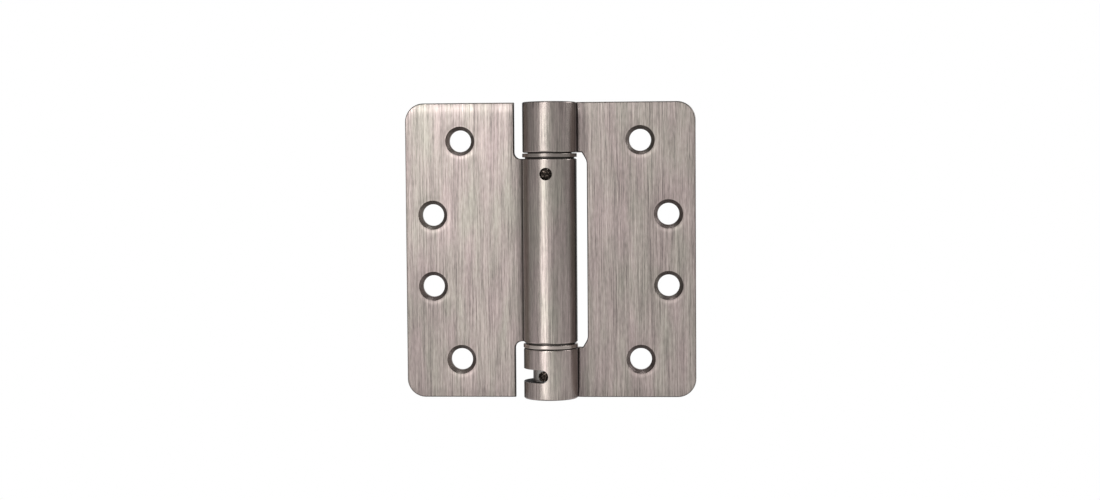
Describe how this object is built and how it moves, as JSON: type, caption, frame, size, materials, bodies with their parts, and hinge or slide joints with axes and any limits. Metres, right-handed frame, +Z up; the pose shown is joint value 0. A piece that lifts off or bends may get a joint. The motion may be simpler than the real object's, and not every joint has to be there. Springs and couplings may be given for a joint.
{
  "type": "spring loaded door hinge",
  "caption": "Self-closing butt hinge: two brushed steel leaves with countersunk screw holes, rolled round a barrel that holds a torsion spring and its adjuster.",
  "frame": {"origin": "on the pin axis at half the height of the leaves", "axes": "+Z up the pin axis, away from the adjuster; +X towards the leaf with the two end knuckles; -Y is the side that the countersinks face when the hinge lies open flat"},
  "size_m": [0.0998, 0.0188, 0.1016],
  "materials": {
    "leaf_plate": "brushed satin nickel with a warm antique tone, brushed along the pin axis",
    "bearing_ring": "turned steel plated like the leaves",
    "plug_steel": "zinc-plated turned steel",
    "dark_pin": "black oxide",
    "spring_wire": "oiled spring wire",
    "nylon": "natural nylon"
  },
  "bodies": {
    "knuckle_leaf": {"knuckle_leaf": "leaf_plate", "top_bushing": "nylon", "top_cap": "bearing_ring", "lower_bearing": "bearing_ring", "retaining_ring": "plug_steel"},
    "barrel_leaf": {"barrel_leaf": "leaf_plate", "top_pivot": "plug_steel", "anchor_pin": "dark_pin", "upper_bearing": "bearing_ring", "lower_bushing": "nylon", "torsion_spring": "spring_wire"},
    "adjuster": {"adjuster": "plug_steel"},
    "tension_pin": {"tension_pin": "dark_pin"}
  },
  "joints": [
    {"name": "leaf_swing", "type": "hinge", "parent": "knuckle_leaf", "child": "barrel_leaf", "pos_m": [0, 0, 0], "axis": [0, 0, 1], "range_deg": [-140, 180], "stiffness_Nm_per_rad": 1.1, "deforming": ["torsion_spring"]},
    {"name": "adjuster_turn", "type": "hinge", "parent": "knuckle_leaf", "child": "adjuster", "pos_m": [0, 0, -0.04265], "axis": [0, 0, 1], "range_deg": [-151.6, 0], "stiffness_Nm_per_rad": 1.1, "deforming": ["torsion_spring"]},
    {"name": "pin_slide", "type": "slide", "parent": "adjuster", "child": "tension_pin", "axis": [-0.2453, -0.9694, 0], "range_m": [0, 0.0065]}
  ]
}
